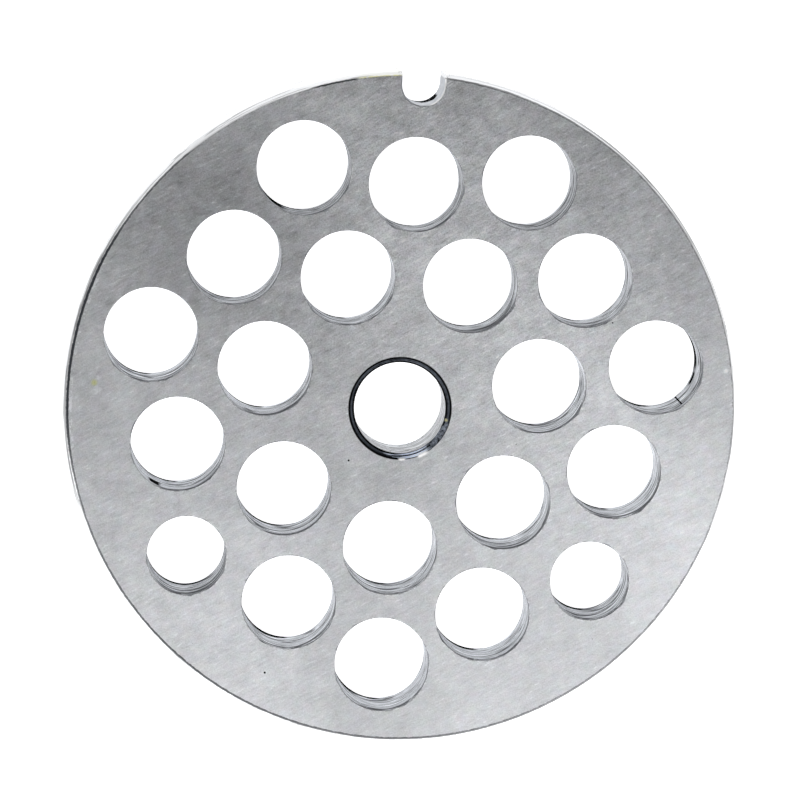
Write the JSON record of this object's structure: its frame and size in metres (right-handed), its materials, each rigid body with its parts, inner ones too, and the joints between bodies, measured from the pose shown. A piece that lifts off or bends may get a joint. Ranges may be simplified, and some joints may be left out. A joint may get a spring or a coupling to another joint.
{
  "type": "meat grinder plate",
  "caption": "Flat round steel plate with a central bore, rings of straight drilled holes that minced food is pushed through, and a notch in the rim that keeps it from turning.",
  "frame": {"origin": "on the bore's axis at the plate's back face, which it lies on", "axes": "+Z along the bore, out of the front face that the knife runs on; +Y towards the notch in the rim; +X completes the right hand set"},
  "size_m": [0.07, 0.0699, 0.008],
  "materials": {
    "ground_steel": "surface ground on the faces, drilled in the holes, dark at the bore's chamfer"
  },
  "bodies": {
    "root": {"grinder_plate": "ground_steel"}
  },
  "joints": []
}
